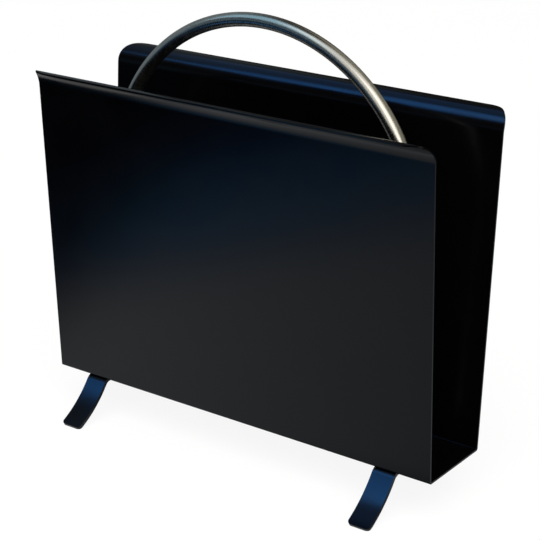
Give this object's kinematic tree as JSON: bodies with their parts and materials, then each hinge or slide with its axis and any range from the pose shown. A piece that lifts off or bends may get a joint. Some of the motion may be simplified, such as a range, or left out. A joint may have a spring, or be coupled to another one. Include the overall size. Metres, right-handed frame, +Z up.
{
  "type": "magazine_rack",
  "caption": "Free-standing magazine rack: folded black sheet-metal pocket with open ends and rolled lips, an arched steel tube handle and bent strap feet.",
  "frame": {"origin": "on the ground, under the middle of the rack", "axes": "+X along the rack from its left open end to its right one, +Y from the front wall to the rear wall, +Z up"},
  "size_m": [0.38, 0.148, 0.3695],
  "materials": {
    "enamel": "gloss",
    "stainless": "satin",
    "zinc": "satin"
  },
  "bodies": {
    "root": {"folded_body": "enamel", "handle_tube": "stainless", "foot_strap_left": "enamel", "handle_insert_left": "zinc", "handle_screw_left": "zinc", "flat_washer_left": "zinc", "spring_washer_left": "zinc", "strap_rivet_left_front": "enamel", "strap_rivet_left_rear": "enamel", "foot_strap_right": "enamel", "handle_insert_right": "zinc", "handle_screw_right": "zinc", "flat_washer_right": "zinc", "spring_washer_right": "zinc", "strap_rivet_right_front": "enamel", "strap_rivet_right_rear": "enamel"}
  },
  "joints": []
}
